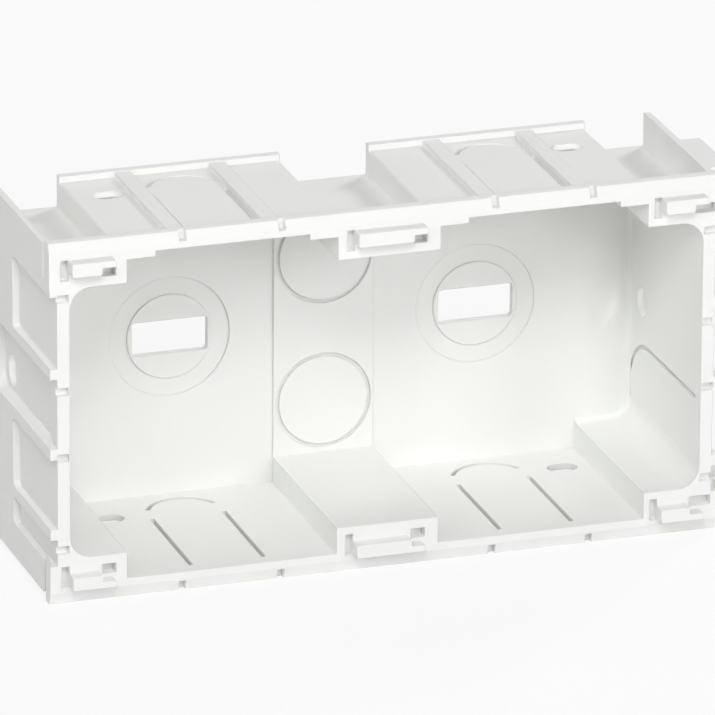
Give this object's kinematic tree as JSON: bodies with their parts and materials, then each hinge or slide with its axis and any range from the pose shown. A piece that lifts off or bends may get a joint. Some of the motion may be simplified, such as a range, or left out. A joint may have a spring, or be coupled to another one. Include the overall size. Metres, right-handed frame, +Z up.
{
  "type": "trunking outlet box",
  "caption": "White open-front outlet box for wall trunking: stepped thin walls, notched front rim with clip bars, rear windows, knock-outs and slotted fixing holes.",
  "frame": {"origin": "middle of the flat rear face", "axes": "+X along the box, +Y out of the rear face towards the wall, +Z up"},
  "size_m": [0.1451, 0.0462, 0.076],
  "materials": {
    "white_plastic": "satin"
  },
  "bodies": {
    "root": {"outlet_box": "white_plastic"}
  },
  "joints": []
}
